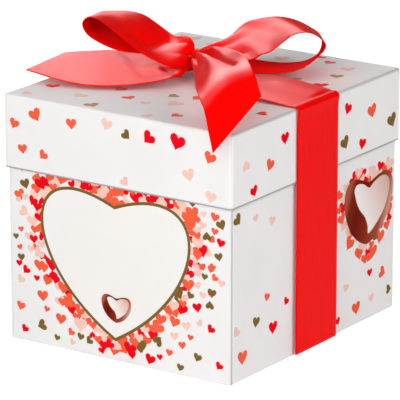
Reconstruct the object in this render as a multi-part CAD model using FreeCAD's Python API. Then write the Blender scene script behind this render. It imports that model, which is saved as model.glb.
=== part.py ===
"""Chocolate gift box: a lift-off carton lid over a base with three trays of heart pralines,
tied with a satin ribbon and a two-loop bow.

Frame: +Z up, origin at the middle of the base's underside. The printed front faces -Y and
the side with the ribbon faces +X. Millimetres.
"""
import FreeCAD, Part
import math
import os

# Carton: the lid's outside, the height of the closed box and the folded board
lid_width = 88.0
lid_depth = 100.0
box_height = 82.4
lid_skirt = 24.4
board = 0.6
lid_clearance = 0.25
fold_radius = 1.3
lid_edge_radius = 0.9
floor_edge_radius = 0.5

# Glued corner seam at the front right of the base: the side wall folds in behind the front panel
seam_fold_radius = 1.5
glue_flap_length = 12.0
glue_line_angle = 75.0

# Trays, cards and pralines
tier_count = 3
praline_rows = 3
praline_columns = 3
tray_clearance = 0.3
tray_wall = 0.5
tray_margin = 3.0
pocket_gap = 4.0
pocket_corner = 5.0
pocket_draft = 0.8
praline_show = 6.0
praline_clearance = 0.4
card_thickness = 1.2
card_corner = 3.0
headroom = 11.3
praline_section_shares = ((0.0, 1.0), (0.6, 0.95), (0.87, 0.8), (1.0, 0.52))

# Ribbon: one satin band over the lid and down both sides, set a little towards the front
ribbon_width = 24.0
ribbon_thickness = 0.4
ribbon_clearance = 0.3
ribbon_offset = -1.5
ribbon_floor_gap = 0.5
crease_length = 2.2

# Bow: the pinched knot over the middle of the lid, and the reach of what springs from it
knot_offset = -3.0
knot_height = 7.8
knot_radius = 2.4
knot_length = 2.4
knot_edge_radius = 0.7
knot_gap = 0.8
knot_yaw = 30.0
left_loop_yaw = 205.0
left_loop_reach = 36.5
left_loop_rise = 15.0
right_loop_yaw = 40.0
right_loop_reach = 42.0
right_loop_rise = 10.0
front_tail_yaw = -43.0
front_tail_reach = 77.0
front_tail_rise = 10.0
left_tail_yaw = 221.0
left_tail_reach = 56.5
left_tail_rise = 10.0
strip_steps = 3

# Each row is a cut across the ribbon, from the knot outwards: one edge, then the other.
# An edge is (share of the reach, share of the ribbon's width to the left, share of the rise).
left_loop_shares = (
    ((0.045, -0.08, 0.10), (0.045, 0.08, -0.02)),
    ((0.10, -0.17, 0.27), (0.05, 0.35, -0.09)),
    ((0.21, -0.25, 0.33), (0.14, 0.56, -0.04)),
    ((0.365, -0.38, 0.46), (0.325, 0.61, 0.12)),
    ((0.525, -0.43, 0.68), (0.51, 0.59, 0.39)),
    ((0.675, -0.45, 0.75), (0.665, 0.57, 0.68)),
    ((0.805, -0.46, 0.74), (0.80, 0.55, 0.91)),
    ((0.91, -0.48, 0.71), (0.91, 0.52, 0.97)),
    ((0.97, -0.50, 0.63), (0.97, 0.50, 0.82)),
    ((0.93, -0.50, 0.54), (0.93, 0.50, 0.59)),
    ((0.81, -0.50, 0.49), (0.81, 0.50, 0.40)),
    ((0.66, -0.49, 0.46), (0.66, 0.50, 0.26)),
    ((0.47, -0.45, 0.36), (0.47, 0.36, 0.12)),
    ((0.27, -0.28, 0.15), (0.27, 0.10, 0.02)),
    ((0.045, -0.07, -0.03), (0.045, 0.02, -0.04)),
)
right_loop_shares = (
    ((0.04, -0.07, 0.13), (0.04, 0.07, 0.15)),
    ((0.21, -0.30, 0.09), (0.21, 0.30, 0.33)),
    ((0.38, -0.46, 0.08), (0.38, 0.47, 0.75)),
    ((0.51, -0.48, 0.28), (0.51, 0.48, 0.90)),
    ((0.63, -0.50, 0.67), (0.63, 0.50, 0.94)),
    ((0.71, -0.50, 0.91), (0.71, 0.50, 0.91)),
    ((0.80, -0.50, 0.99), (0.80, 0.50, 0.81)),
    ((0.88, -0.50, 0.90), (0.90, 0.50, 0.60)),
    ((0.95, -0.50, 0.66), (0.99, 0.50, 0.32)),
    ((0.96, -0.50, 0.45), (1.01, 0.50, -0.02)),
    ((0.91, -0.50, 0.20), (0.97, 0.50, -0.38)),
    ((0.83, -0.50, -0.08), (0.87, 0.50, -0.58)),
    ((0.71, -0.50, -0.29), (0.73, 0.50, -0.63)),
    ((0.57, -0.49, -0.36), (0.57, 0.49, -0.56)),
    ((0.40, -0.45, -0.32), (0.40, 0.45, -0.42)),
    ((0.24, -0.28, -0.18), (0.24, 0.28, -0.24)),
    ((0.04, -0.07, -0.06), (0.04, 0.07, -0.06)),
)
front_tail_shares = (
    ((0.042, -0.08, -0.08), (0.040, 0.08, 0.20)),
    ((0.25, -0.19, 0.00), (0.13, 0.17, 0.53)),
    ((0.47, -0.34, 0.16), (0.285, 0.255, 0.72)),
    ((0.665, -0.48, 0.24), (0.465, 0.29, 0.83)),
    ((0.78, -0.53, 0.16), (0.61, 0.265, 0.83)),
    ((0.86, -0.54, 0.01), (0.715, 0.24, 0.72)),
    ((0.925, -0.545, -0.23), (0.79, 0.23, 0.56)),
    ((0.975, -0.54, -0.61), (0.825, 0.23, 0.44)),
    ((1.023, -0.53, -1.03), (0.855, 0.23, 0.33)),
)
left_tail_shares = (
    ((0.035, -0.08, -0.12), (0.035, 0.08, -0.17)),
    ((0.105, -0.07, -0.14), (0.10, 0.40, -0.19)),
    ((0.21, -0.26, -0.10), (0.21, 0.59, -0.38)),
    ((0.355, -0.42, -0.03), (0.355, 0.60, -0.51)),
    ((0.476, -0.50, -0.04), (0.494, 0.56, -0.58)),
    ((0.595, -0.55, -0.08), (0.637, 0.45, -0.61)),
    ((0.685, -0.59, -0.12), (0.79, 0.29, -0.52)),
    ((0.744, -0.61, -0.15), (0.985, 0.01, -0.30)),
)

# Sizes that follow from those above
wall_step = board + lid_clearance
base_width = lid_width - 2 * wall_step
base_depth = lid_depth - 2 * wall_step
base_height = box_height - board
inner_width = base_width - 2 * board
inner_depth = base_depth - 2 * board
tray_width = inner_width - 2 * (board + tray_clearance)
tray_depth = inner_depth - 2 * (board + tray_clearance)
pocket_width = (tray_width - 2 * tray_margin - (praline_columns - 1) * pocket_gap) / praline_columns
pocket_length = (tray_depth - 2 * tray_margin - (praline_rows - 1) * pocket_gap) / praline_rows
praline_width = pocket_width - 2 * (pocket_draft + tray_wall + praline_clearance)
tier_pitch = (base_height - board - headroom + card_thickness) / tier_count
praline_height = tier_pitch - card_thickness - tray_wall
pocket_depth = praline_height - praline_show
leg_inside = lid_width / 2 + ribbon_clearance
leg_outside = leg_inside + ribbon_thickness
run_bottom = box_height + ribbon_clearance


def chain(start, steps):
    """Closed wire from start: a step of one point is a line, of two a three-point arc."""
    edges = []
    here = start
    for step in steps:
        if len(step) == 2:
            edges.append(Part.Arc(here, step[0], step[1]).toShape())
        else:
            edges.append(Part.LineSegment(here, step[0]).toShape())
        here = step[-1]
    return Part.Wire(edges)


def fold(x, y, radius, first_angle, last_angle, z=0.0):
    """Arc step about (x, y), as its middle and end point."""
    points = []
    for angle in ((first_angle + last_angle) / 2, last_angle):
        turn = math.radians(angle)
        points.append(FreeCAD.Vector(x + radius * math.cos(turn), y + radius * math.sin(turn), z))
    return tuple(points)


def rounded_rectangle(width, depth, radius, z):
    """Closed wire of four sides and four corner arcs, centred on the origin."""
    x = width / 2 - radius
    y = depth / 2 - radius
    point = FreeCAD.Vector
    return chain(point(-x, -depth / 2, z), (
        (point(x, -depth / 2, z),), fold(x, -y, radius, -90, 0, z),
        (point(width / 2, y, z),), fold(x, y, radius, 0, 90, z),
        (point(-x, depth / 2, z),), fold(-x, y, radius, 90, 180, z),
        (point(-width / 2, -y, z),), fold(-x, -y, radius, 180, 270, z),
    ))


def prism(wire, height):
    """Straight solid over a closed flat wire."""
    return Part.Face(wire).extrude(FreeCAD.Vector(0, 0, height))


def base_carton():
    """Folded base: floor, four walls and the glue flap behind the front panel's raw edge."""
    x = base_width / 2
    y = base_depth / 2
    flap_y = -y + board
    seam_y = flap_y + seam_fold_radius
    seam_x = x - seam_fold_radius
    inner_fold = fold_radius - board
    point = FreeCAD.Vector
    fold_x = x - fold_radius
    fold_y = y - fold_radius
    flap_x = x - glue_flap_length
    seam = fold(seam_x, seam_y, seam_fold_radius, 0, -glue_line_angle)
    outside = chain(point(x, -y, 0), (
        (point(-fold_x, -y, 0),), fold(-fold_x, -fold_y, fold_radius, 270, 180),
        (point(-x, fold_y, 0),), fold(-fold_x, fold_y, fold_radius, 180, 90),
        (point(fold_x, y, 0),), fold(fold_x, fold_y, fold_radius, 90, 0),
        (point(x, seam_y, 0),), seam,
        (point(seam[1].x, flap_y, 0),), (point(x, flap_y, 0),), (point(x, -y, 0),),
    ))
    inside = chain(point(x - board, seam_y, 0), (
        (point(x - board, fold_y, 0),), fold(fold_x, fold_y, inner_fold, 0, 90),
        (point(-fold_x, y - board, 0),), fold(-fold_x, fold_y, inner_fold, 90, 180),
        (point(-x + board, -fold_y, 0),), fold(-fold_x, -fold_y, inner_fold, 180, 270),
        (point(flap_x, flap_y, 0),), (point(flap_x, flap_y + board, 0),),
        (point(seam_x, flap_y + board, 0),), fold(seam_x, seam_y, seam_fold_radius - board, -90, 0),
    ))
    walls = prism(outside, base_height).cut(prism(inside, base_height))
    carton = walls.fuse(prism(inside, board)).removeSplitter()
    rounded = []
    for edge in carton.Edges:
        box = edge.BoundBox
        outer = box.XMin < -fold_x or box.YMax > fold_y
        if box.ZMax < board / 2 and outer and box.YMin < y - board and box.XMax > -x - board:
            rounded.append(edge)
    return carton.makeFillet(floor_edge_radius, rounded)


def lid_carton():
    """Lid: a folded tray turned over, its panel resting on the base's rim."""
    rim = box_height - lid_skirt
    outside = prism(rounded_rectangle(lid_width, lid_depth, fold_radius, rim), lid_skirt)
    top_edges = [edge for edge in outside.Edges if edge.BoundBox.ZMin > box_height - board / 2]
    outside = outside.makeFillet(lid_edge_radius, top_edges)
    hollow = rounded_rectangle(lid_width - 2 * board, lid_depth - 2 * board, fold_radius - board, rim)
    return outside.cut(prism(hollow, lid_skirt - board))


def heart_wire(width, x, y, z):
    """Heart outline of two quarter-arc pairs on a square that stands on its corner."""
    side = width / (1 + math.sqrt(2)) * math.sqrt(2)
    reach = side / math.sqrt(2)
    lobe = reach / 2
    radius = side / 2
    point = FreeCAD.Vector
    tip = point(x, y - reach, z)
    right = fold(x + lobe, y + lobe, radius, -45, 45, z)
    notch = fold(x + lobe, y + lobe, radius, 45, 135, z)
    left_top = fold(x - lobe, y + lobe, radius, 45, 135, z)
    left = fold(x - lobe, y + lobe, radius, 135, 225, z)
    return chain(tip, ((point(x + reach, y, z),), right, notch, left_top, left, (tip,)))


def praline():
    """Moulded heart chocolate with drafted sides and a rounded crown, standing at z = 0."""
    wires = []
    for height_share, width_share in praline_section_shares:
        wires.append(heart_wire(praline_width * width_share, 0, 0, praline_height * height_share))
    return Part.makeLoft(wires, True, True)


def pocket(shrink, drop):
    """Drafted pocket, its mouth at z = 0; shrink draws the walls in and drop sets the floor."""
    width = pocket_width - 2 * shrink
    length = pocket_length - 2 * shrink
    taper = 2 * pocket_draft
    mouth = rounded_rectangle(width, length, pocket_corner, 0)
    floor = rounded_rectangle(width - taper, length - taper, pocket_corner - pocket_draft, -drop)
    return Part.makeLoft([mouth, floor], True, True)


def pocket_places():
    """Middles of the pockets of one tray."""
    places = []
    for row in range(praline_rows):
        for column in range(praline_columns):
            x = (column - (praline_columns - 1) / 2) * (pocket_width + pocket_gap)
            y = (row - (praline_rows - 1) / 2) * (pocket_length + pocket_gap)
            places.append(FreeCAD.Vector(x, y, 0))
    return places


def tray():
    """Thin formed tray, standing on its pocket floors at z = 0."""
    top = pocket_depth + tray_wall
    plate = prism(rounded_rectangle(tray_width, tray_depth, card_corner, top - tray_wall), tray_wall)
    outer = pocket(0.0, pocket_depth + tray_wall)
    inner = pocket(tray_wall, pocket_depth)
    cups = []
    hollows = []
    for place in pocket_places():
        shift = place + FreeCAD.Vector(0, 0, top)
        cups.append(outer.translated(shift))
        hollows.append(inner.translated(shift))
    return plate.multiFuse(cups).cut(Part.makeCompound(hollows)).removeSplitter()


def tier_card():
    """Divider card between two tiers, at z = 0."""
    return prism(rounded_rectangle(tray_width, tray_depth, card_corner, 0), card_thickness)


def eased(before, here, there, after, share):
    """Point between the middle two of four places, on the smooth curve that passes them all."""
    linear = there - before
    square = before * 2 - here * 5 + there * 4 - after
    cube = here * 3 - before - there * 3 + after
    return here + (linear * share + square * share ** 2 + cube * share ** 3) * 0.5


def smooth_cuts(rows):
    """Rows of edge points with evenly eased rows between them."""
    last = len(rows) - 1
    cuts = []
    for index in range(last):
        near = [rows[max(index - 1, 0)], rows[index], rows[index + 1], rows[min(index + 2, last)]]
        for step in range(strip_steps):
            cuts.append([eased(*[row[edge] for row in near], step / strip_steps) for edge in (0, 1)])
    cuts.append(rows[last])
    return cuts


def strip(cuts):
    """Ribbon solid of even thickness lofted through cuts, each a pair of edge points."""
    middles = [(first + last) * 0.5 for first, last in cuts]
    wires = []
    for index, (first, last) in enumerate(cuts):
        ahead = middles[min(index + 1, len(cuts) - 1)]
        behind = middles[max(index - 1, 0)]
        normal = (ahead - behind).cross(last - first)
        normal.normalize()
        lift = normal * (ribbon_thickness / 2)
        corners = [first - lift, last - lift, last + lift, first + lift, first - lift]
        wires.append(Part.makePolygon(corners))
    return Part.makeLoft(wires, True, True)


def bow_strip(shares, yaw, reach, rise):
    """Loop or tail of the bow from its table of shares, springing from the knot along yaw."""
    turn = math.radians(yaw)
    root = FreeCAD.Vector(knot_offset, 0, box_height + knot_height)
    along = FreeCAD.Vector(math.cos(turn), math.sin(turn), 0)
    left = FreeCAD.Vector(-math.sin(turn), math.cos(turn), 0)
    cuts = []
    for row in shares:
        edges = []
        for reach_share, width_share, rise_share in row:
            out = along * (reach_share * reach) + left * (width_share * ribbon_width)
            edges.append(root + out + FreeCAD.Vector(0, 0, rise_share * rise))
        cuts.append(edges)
    return strip(smooth_cuts(cuts))


def ribbon_run(side):
    """Flat run over the lid on one side (1 or -1), from its crease at the edge up to the knot."""
    low = run_bottom + ribbon_thickness / 2
    top = box_height + knot_height - knot_radius - knot_gap - ribbon_thickness / 2
    stations = (
        (side * leg_outside, low),
        (side * (leg_outside - crease_length), low),
        (knot_offset + side * knot_length / 2, top),
        (knot_offset, top),
    )
    cuts = []
    for x, z in stations:
        front = FreeCAD.Vector(x, ribbon_offset - ribbon_width / 2, z)
        back = FreeCAD.Vector(x, ribbon_offset + ribbon_width / 2, z)
        cuts.append((front, back))
    return strip(cuts)


def ribbon_leg(side):
    """Run down one side of the box, hanging clear of the base past the lid's rim."""
    x = leg_inside if side > 0 else -leg_outside
    corner = FreeCAD.Vector(x, ribbon_offset - ribbon_width / 2, ribbon_floor_gap)
    return Part.makeBox(ribbon_thickness, ribbon_width, run_bottom - ribbon_floor_gap, corner)


def bow_knot():
    """Pinched wrap round the middle of the bow: a short soft roll along the loops."""
    turn = math.radians(knot_yaw)
    along = FreeCAD.Vector(math.cos(turn), math.sin(turn), 0)
    middle = FreeCAD.Vector(knot_offset, 0, box_height + knot_height)
    roll = Part.makeCylinder(knot_radius, knot_length, middle - along * (knot_length / 2), along)
    rims = [edge for edge in roll.Edges if edge.Closed and len(edge.Vertexes) == 1]
    return roll.makeFillet(knot_edge_radius, rims)


def build():
    """All the solids by node name."""
    nodes = {}
    nodes["base_carton"] = base_carton()
    nodes["lid_carton"] = lid_carton()
    one_tray = tray()
    one_card = tier_card()
    one_praline = praline()
    for tier in range(tier_count):
        floor = board + tier * tier_pitch
        lift = FreeCAD.Vector(0, 0, floor)
        nodes["tray_%d" % (tier + 1)] = one_tray.translated(lift)
        if tier:
            nodes["tier_card_%d" % tier] = one_card.translated(lift - FreeCAD.Vector(0, 0, card_thickness))
        for index, place in enumerate(pocket_places()):
            seat = place + lift + FreeCAD.Vector(0, 0, tray_wall)
            nodes["praline_%d_%d" % (tier + 1, index + 1)] = one_praline.translated(seat)
    nodes["ribbon_run_left"] = ribbon_run(-1)
    nodes["ribbon_run_right"] = ribbon_run(1)
    nodes["ribbon_leg_left"] = ribbon_leg(-1)
    nodes["ribbon_leg_right"] = ribbon_leg(1)
    springs = (
        ("bow_left_loop", left_loop_shares, left_loop_yaw, left_loop_reach, left_loop_rise),
        ("bow_right_loop", right_loop_shares, right_loop_yaw, right_loop_reach, right_loop_rise),
        ("bow_front_tail", front_tail_shares, front_tail_yaw, front_tail_reach, front_tail_rise),
        ("bow_left_tail", left_tail_shares, left_tail_yaw, left_tail_reach, left_tail_rise),
    )
    for name, shares, yaw, reach, rise in springs:
        nodes[name] = bow_strip(shares, yaw, reach, rise)
    nodes["bow_knot"] = bow_knot()
    return nodes


os.makedirs("parts", exist_ok=True)
for name, shape in build().items():
    shape.exportStep("parts/%s.step" % name)
    state = "valid" if shape.isValid() else "INVALID"
    print(name, state, "solids", len(shape.Solids), "volume", round(shape.Volume, 2))
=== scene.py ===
"""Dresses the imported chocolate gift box: printed boards, chocolates, satin ribbon, bow and stage."""
import math
import random

import bmesh
import bpy
from bpy.props import FloatProperty, FloatVectorProperty, IntProperty, PointerProperty
from bpy.types import Operator, Panel, PropertyGroup
from mathutils import Matrix, Vector


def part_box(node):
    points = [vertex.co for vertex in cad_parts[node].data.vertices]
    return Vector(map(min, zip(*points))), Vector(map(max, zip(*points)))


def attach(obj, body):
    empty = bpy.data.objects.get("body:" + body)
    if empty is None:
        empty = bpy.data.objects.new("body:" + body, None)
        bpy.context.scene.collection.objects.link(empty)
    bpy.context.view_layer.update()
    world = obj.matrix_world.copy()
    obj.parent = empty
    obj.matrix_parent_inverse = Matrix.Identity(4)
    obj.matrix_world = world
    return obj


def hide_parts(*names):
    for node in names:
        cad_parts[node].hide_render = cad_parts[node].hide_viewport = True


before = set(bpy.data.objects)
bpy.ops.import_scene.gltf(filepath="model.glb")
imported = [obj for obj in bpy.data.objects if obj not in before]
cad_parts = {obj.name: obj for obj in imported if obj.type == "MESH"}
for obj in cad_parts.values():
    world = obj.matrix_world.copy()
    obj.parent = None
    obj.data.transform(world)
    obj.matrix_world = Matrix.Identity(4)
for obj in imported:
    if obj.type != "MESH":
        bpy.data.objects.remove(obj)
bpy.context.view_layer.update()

bl_info = {
    "name": "Chocolate Gift Box",
    "version": (1, 0, 0),
    "blender": (4, 5, 0),
    "location": "View3D > Sidebar > Gift Box",
    "description": "Prints the boards and ties the satin bow of a chocolate gift box",
    "category": "Object",
}

BASE_LOW, BASE_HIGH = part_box("base_carton")
LID_LOW, LID_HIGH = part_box("lid_carton")
LEG_LOW, LEG_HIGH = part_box("ribbon_leg_right")
KNOT_LOW, KNOT_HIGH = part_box("bow_knot")

# The bow's strips leave the middle of the knot.
BOW_ROOT = (KNOT_LOW + KNOT_HIGH) / 2

X_AXIS = Vector((1, 0, 0))
Y_AXIS = Vector((0, 1, 0))
Z_AXIS = Vector((0, 0, 1))
MM = 0.001

# The thickness of the board, and how far the painted shade in the glued corner's groove reaches from the
# corner.
BOARD = 0.6 * MM
GROOVE_REACH = 2.0 * MM

# The printed coating has hardly any gloss of its own.
COATING_GLOSS = 0.02

# Middles of the prints on their faces, in millimetres across and up, and half widths of the pictures.
FRAME_MIDDLE = (-1.0, 36.1)
FRONT_PICTURE = ((-0.5, 18.3), 5.8)
RIGHT_PICTURE = ((32.0, 40.0), 15.0)

# Places that stay free of scattered hearts: left, low, right and high, in millimetres on their faces.
FRONT_BARE = ((-36, 9, 34, 62), (-22, 0, 20, 30))
RIGHT_BARE = ((-46, 26, -16, 46), (-15, 0, 12, 80), (14, 18, 50, 60))
LID_FRONT_BARE = ((-26, 63, 22, 74),)
RIGHT_BAND_BARE = ((-15, 0, 12, 90),)
LEFT_BAND_BARE = ((-12, 0, 15, 90),)
TOP_BAND_BARE = ((-50, -15, 50, 12),)

# Each row of a strip is a cut across the ribbon: its two edges as shares of the strip's reach away
# from the knot, of the ribbon's width to the left of that direction, and of the strip's rise.
LEFT_LOOP_SHARES = (
    ((0.045, -0.08, 0.10), (0.045, 0.08, -0.02)),
    ((0.10, -0.17, 0.27), (0.05, 0.35, -0.09)),
    ((0.21, -0.25, 0.33), (0.14, 0.56, -0.04)),
    ((0.365, -0.38, 0.46), (0.325, 0.61, 0.12)),
    ((0.525, -0.43, 0.68), (0.51, 0.59, 0.39)),
    ((0.675, -0.45, 0.75), (0.665, 0.57, 0.68)),
    ((0.805, -0.46, 0.74), (0.80, 0.55, 0.91)),
    ((0.91, -0.48, 0.71), (0.91, 0.52, 0.97)),
    ((0.97, -0.50, 0.63), (0.97, 0.50, 0.82)),
    ((0.93, -0.50, 0.54), (0.93, 0.50, 0.59)),
    ((0.81, -0.50, 0.49), (0.81, 0.50, 0.40)),
    ((0.66, -0.49, 0.46), (0.66, 0.50, 0.26)),
    ((0.47, -0.45, 0.36), (0.47, 0.36, 0.12)),
    ((0.27, -0.28, 0.15), (0.27, 0.10, 0.02)),
    ((0.045, -0.07, -0.03), (0.045, 0.02, -0.04)),
)
RIGHT_LOOP_SHARES = (
    ((0.04, -0.07, 0.13), (0.04, 0.07, 0.15)),
    ((0.21, -0.30, 0.09), (0.21, 0.30, 0.33)),
    ((0.38, -0.46, 0.08), (0.38, 0.47, 0.75)),
    ((0.51, -0.48, 0.28), (0.51, 0.48, 0.90)),
    ((0.63, -0.50, 0.67), (0.63, 0.50, 0.94)),
    ((0.71, -0.50, 0.91), (0.71, 0.50, 0.91)),
    ((0.80, -0.50, 0.99), (0.80, 0.50, 0.81)),
    ((0.88, -0.50, 0.90), (0.90, 0.50, 0.60)),
    ((0.95, -0.50, 0.66), (0.99, 0.50, 0.32)),
    ((0.96, -0.50, 0.45), (1.01, 0.50, -0.02)),
    ((0.91, -0.50, 0.20), (0.97, 0.50, -0.38)),
    ((0.83, -0.50, -0.08), (0.87, 0.50, -0.58)),
    ((0.71, -0.50, -0.29), (0.73, 0.50, -0.63)),
    ((0.57, -0.49, -0.36), (0.57, 0.49, -0.56)),
    ((0.40, -0.45, -0.32), (0.40, 0.45, -0.42)),
    ((0.24, -0.28, -0.18), (0.24, 0.28, -0.24)),
    ((0.04, -0.07, -0.06), (0.04, 0.07, -0.06)),
)
FRONT_TAIL_SHARES = (
    ((0.042, -0.08, -0.08), (0.040, 0.08, 0.20)),
    ((0.25, -0.19, 0.00), (0.13, 0.17, 0.53)),
    ((0.47, -0.34, 0.16), (0.285, 0.255, 0.72)),
    ((0.701, -0.506, 0.326), (0.550, 0.229, 1.03)),
    ((0.829, -0.565, 0.274), (0.689, 0.208, 1.016)),
    ((0.896, -0.566, 0.096), (0.7635, 0.205, 0.834)),
    ((0.943, -0.558, -0.187), (0.79, 0.23, 0.56)),
    ((0.975, -0.54, -0.61), (0.813, 0.239, 0.411)),
    ((1.023, -0.53, -1.03), (0.831, 0.2475, 0.273)),
)
LEFT_TAIL_SHARES = (
    ((0.035, -0.08, -0.12), (0.035, 0.08, -0.17)),
    ((0.105, -0.07, -0.14), (0.10, 0.40, -0.19)),
    ((0.21, -0.26, -0.10), (0.21, 0.59, -0.38)),
    ((0.355, -0.42, -0.03), (0.355, 0.60, -0.51)),
    ((0.476, -0.50, -0.04), (0.494, 0.56, -0.58)),
    ((0.595, -0.55, -0.08), (0.637, 0.45, -0.61)),
    ((0.685, -0.59, -0.12), (0.79, 0.29, -0.52)),
    ((0.744, -0.61, -0.15), (0.985, 0.01, -0.30)),
)

# Folds that a hand leaves in the satin: the height in millimetres, the spread as a share of the
# ribbon's width, and the line's points as shares across and along the strip.
LEFT_LOOP_FOLDS = (
    (-1.3, 0.11, ((0.72, 0.25), (0.43, 0.205), (0.08, 0.16))),
    (1.3, 0.17, ((0.62, 0.11), (0.23, 0.075))),
    (0.5, 0.16, ((0.35, 0.286), (0.40, 0.33))),
)
RIGHT_LOOP_FOLDS = (
    (0.8, 0.09, ((0.62, 0.03), (0.58, 0.07), (0.52, 0.106), (0.25, 0.15), (0.0, 0.169))),
    (-0.4, 0.14, ((0.68, 0.125), (0.72, 0.14))),
    (-0.4, 0.10, ((0.95, 0.12), (0.75, 0.194), (0.43, 0.234))),
)
FRONT_TAIL_FOLDS = (
    (-1.3, 0.08, ((0.67, 0.06), (0.62, 0.20), (0.62, 0.30), (0.72, 0.40))),
    (0.7, 0.14, ((0.84, 0.17), (0.84, 0.23))),
    (0.7, 0.16, ((0.42, 0.20), (0.45, 0.30))),
    (2.6, 0.36, ((0.32, 0.14), (0.36, 0.30), (0.42, 0.60))),
)
LEFT_TAIL_FOLDS = (
    (-0.8, 0.16, ((0.07, 0.45), (0.35, 0.40), (0.67, 0.363))),
    (0.8, 0.12, ((0.50, 0.338), (0.58, 0.33))),
    (-1.0, 0.10, ((0.58, 0.25), (0.97, 0.175))),
)

# Rows of the band from the knot over the lid's edge and down the side: the near edge, then the far
# one, as shares of the lid's half width, of the ribbon's width and of the knot's height over the lid.
# The rows down the side give their height as a share of the box's height below the lid's top.
BAND_TOP_SHARES = (
    ((-0.05, -0.02, 0.54), (-0.05, 0.16, 0.60)),
    ((0.08, -0.22, 0.46), (0.08, 0.34, 0.52)),
    ((0.24, -0.46, 0.38), (0.24, 0.50, 0.42)),
    ((0.45, -0.50, 0.28), (0.45, 0.50, 0.33)),
    ((0.68, -0.50, 0.18), (0.68, 0.50, 0.23)),
    ((0.88, -0.50, 0.10), (0.88, 0.50, 0.12)),
    ((0.960, -0.50, 0.065), (0.960, 0.50, 0.065)),
    ((0.995, -0.50, 0.085), (0.995, 0.50, 0.085)),
)
BAND_SIDE_SHARES = (
    (1.021, 0.004),
    (1.018, 0.022),
    (1.0125, 0.060),
    (1.0125, 0.200),
    (1.0130, 0.400),
    (1.0125, 0.600),
    (1.0130, 0.800),
    (1.0125, 0.993),
)

# The left run leaves the knot behind the tail, so its first rows have their near edge drawn in.
LEFT_NEAR_SHARES = (0.08, 0.12, -0.10)

BAND_FOLDS = (
    (0.8, 0.20, ((0.72, 0.26), (0.74, 0.36))),
)

# Hearts as waves about their middle: shares of the half width, and the power that draws in the ends.
FRAME_HEART_SHARES = (0.8525, -0.236, -0.08)
FRAME_HEART_POWER = 2.0
CHOCOLATE_HEART_SHARES = (0.80, -0.2175, -0.10)
CHOCOLATE_HEART_POWER = 1.6
SMALL_HEART_SHARES = (0.800, -0.300, -0.130, -0.060)
SMALL_HEART_POWER = 2.8

# The highlight on the printed chocolate, round its outline, as shares of the chocolate's half width.
HIGHLIGHT_SHARES = (
    (-0.61, 0.40), (-0.50, 0.51), (-0.25, 0.48), (0.00, 0.36), (0.20, 0.46), (0.50, 0.55),
    (0.74, 0.50), (0.84, 0.36), (0.82, 0.12), (0.66, -0.22), (0.39, -0.48), (0.05, -0.68),
    (0.00, -0.50), (-0.12, -0.29), (-0.35, -0.09), (-0.49, 0.09), (-0.57, 0.26),
)

# Tones of the printed chocolate from its left side to its right one, then those of its highlight.
CHOCOLATE_TONES = (
    (0.0, "#b2573f"), (0.10, "#7d2412"), (0.30, "#6a1406"),
    (0.55, "#8a2a16"), (0.84, "#a84a34"), (1.0, "#d9a898"),
)
HIGHLIGHT_TONES = ((0.0, "#f4ded7"), (0.40, "#fbf3f0"), (0.70, "#efd3ca"), (1.0, "#dba797"))


def linear(code):
    """Turns an sRGB hex value into linear red, green and blue with full alpha."""
    channels = [int(code[place:place + 2], 16) / 255 for place in (1, 3, 5)]
    return tuple(c / 12.92 if c <= 0.04045 else ((c + 0.055) / 1.055) ** 2.4 for c in channels) + (1.0,)


def colour(label, words, code):
    """A colour that a user can change, given as an sRGB hex value."""
    return FloatVectorProperty(
        name=label, description=words, subtype="COLOR", size=4, min=0.0, max=1.0, default=linear(code)
    )


def amount(label, words, default, unit="NONE", **limits):
    """A number that a user can change."""
    return FloatProperty(name=label, description=words, default=default, unit=unit, **limits)


def length(label, words, default):
    """A length in metres that a user can change."""
    return amount(label, words, default, "LENGTH", precision=5)


def count_of(label, words, default):
    """A whole number that a user can change."""
    return IntProperty(name=label, description=words, default=default, min=0)


class BoardSettings(PropertyGroup):
    board_colour: colour("Board", "Coated outside of the box", "#f8f7f6")
    mottle_colour: colour("Board mottle", "The coating's slightly darker patches", "#f1f0ef")
    inside_colour: colour("Board inside", "Uncoated back of the board", "#dcd7cf")
    # The next three colours paint shade: along the lid's top side folds, a shadow line at the skirt's lower
    # edge, and in the glued corner's groove over its grey cut edge.
    fold_shade_colour: colour("Fold shade", "Painted shade along the lid's side folds", "#b9b8b8")
    rim_shadow_colour: colour("Rim shadow", "Painted shadow line along the lid's skirt edge", "#a8a7a7")
    groove_shade_colour: colour("Groove shade", "Grey cut board and painted shade in the glued corner's groove", "#5a5958")
    shade_line_width: length("Shade line width", "Width of the painted shade lines", 0.0007)
    card_colour: colour("Divider card", "Card between the tiers", "#e9e3d8")
    film_colour: colour("Tray film", "Formed tray film", "#5a3018")
    chocolate_colour: colour("Milk chocolate", "Chocolate in its thick parts", "#5b2a12")
    bloom_colour: colour("Chocolate bloom", "Paler patches of the chocolate", "#744022")


class PrintSettings(PropertyGroup):
    red_colour: colour("Red hearts", "Red ink", "#f40a1c")
    coral_colour: colour("Coral hearts", "Coral ink", "#fb6242")
    blush_colour: colour("Blush hearts", "Pale ink", "#f9cdbf")
    bronze_colour: colour("Bronze hearts", "Bronze ink", "#80632f")
    panel_colour: colour("Heart panel", "Bare panel inside the heart frame", "#f7f5f1")
    frame_half_width: length("Frame half width", "Half the width of the heart frame", 0.0292)
    frame_line: length("Frame line", "Width of the heart frame's line", 0.0010)
    ink_height: length("Ink height", "How far the ink stands on the board", 0.00004)
    wreath_count: count_of("Wreath hearts", "Hearts round the frame", 140)
    seed: count_of("Seed", "Layout of the scattered hearts", 11)


class RibbonSettings(PropertyGroup):
    satin_colour: colour("Satin", "Red satin", "#fd0503")
    width: length("Width", "Width of the ribbon", 0.024)
    thickness: length("Thickness", "Thickness of the satin", 0.0003)
    pleat_depth: length("Pleat depth", "Depth of the gathers by the knot", 0.0015)
    pleat_count: amount("Pleats", "Gathers across the ribbon", 2.5, min=0.0)
    thread: length("Thread", "Spacing of the satin's threads as drawn", 0.00045)


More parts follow.
